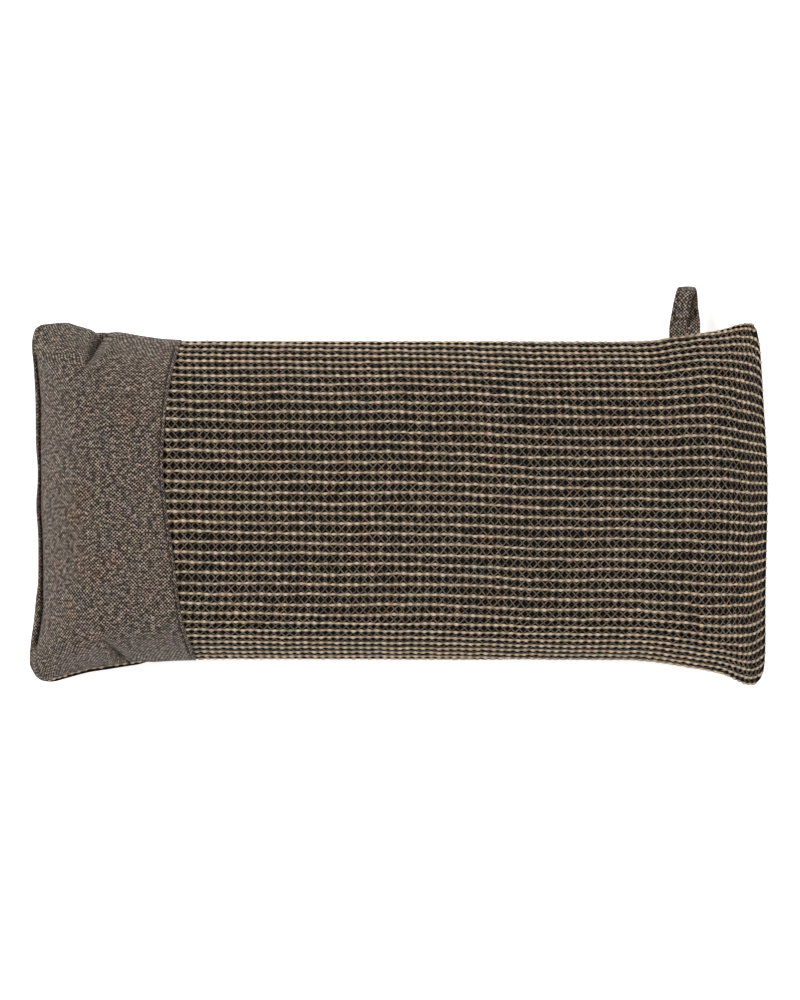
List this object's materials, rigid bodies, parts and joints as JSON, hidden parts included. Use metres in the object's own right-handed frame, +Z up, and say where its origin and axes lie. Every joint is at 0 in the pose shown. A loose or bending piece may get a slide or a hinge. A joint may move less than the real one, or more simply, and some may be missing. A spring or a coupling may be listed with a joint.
{
  "type": "eye pillow",
  "caption": "Seed-filled relaxation pillow with a waffle-weave cover, a plain band across one end and a folded hanging loop that swings at the long seam.",
  "frame": {"origin": "centre of the flat that the pillow rests on", "axes": "+X along the pillow from the closed end to the loop end, +Y across it towards the seam that carries the loop, +Z up through its thickness"},
  "size_m": [0.229, 0.1219, 0.031],
  "materials": {
    "waffle_cloth": "open waffle weave, beige yarn over dark grey-brown ground threads",
    "chambray": "plain weave, dark warp and taupe weft, matte",
    "lining_cotton": "close plain-weave cotton, unbleached",
    "lining_thread": "fine cotton thread",
    "sewing_thread": "spun polyester thread, matte",
    "flaxseed": "smooth brown seed",
    "lavender": "dry grey-violet buds"
  },
  "bodies": {
    "cover": {"front_waffle_panel": "waffle_cloth", "front_end_band": "chambray", "back_waffle_panel": "waffle_cloth", "inner_bag_front": "lining_cotton", "inner_bag_back": "lining_cotton", "inner_bag_seam": "lining_thread", "flaxseed_fill": "flaxseed", "lavender_buds": "lavender", "loop_tails": "chambray", "loop_bartack": "sewing_thread", "band_join_topstitch": "sewing_thread", "closing_edge_stitch": "sewing_thread", "perimeter_lockstitch": "sewing_thread"},
    "loop": {"hanging_loop": "chambray", "loop_edge_stitch": "sewing_thread"}
  },
  "joints": [
    {"name": "loop_hinge", "type": "hinge", "parent": "cover", "child": "loop", "pos_m": [0.0878, 0.0538, 0.0124], "axis": [1, 0, 0], "range_deg": [-65, 75], "stiffness_Nm_per_rad": 0.0001}
  ]
}
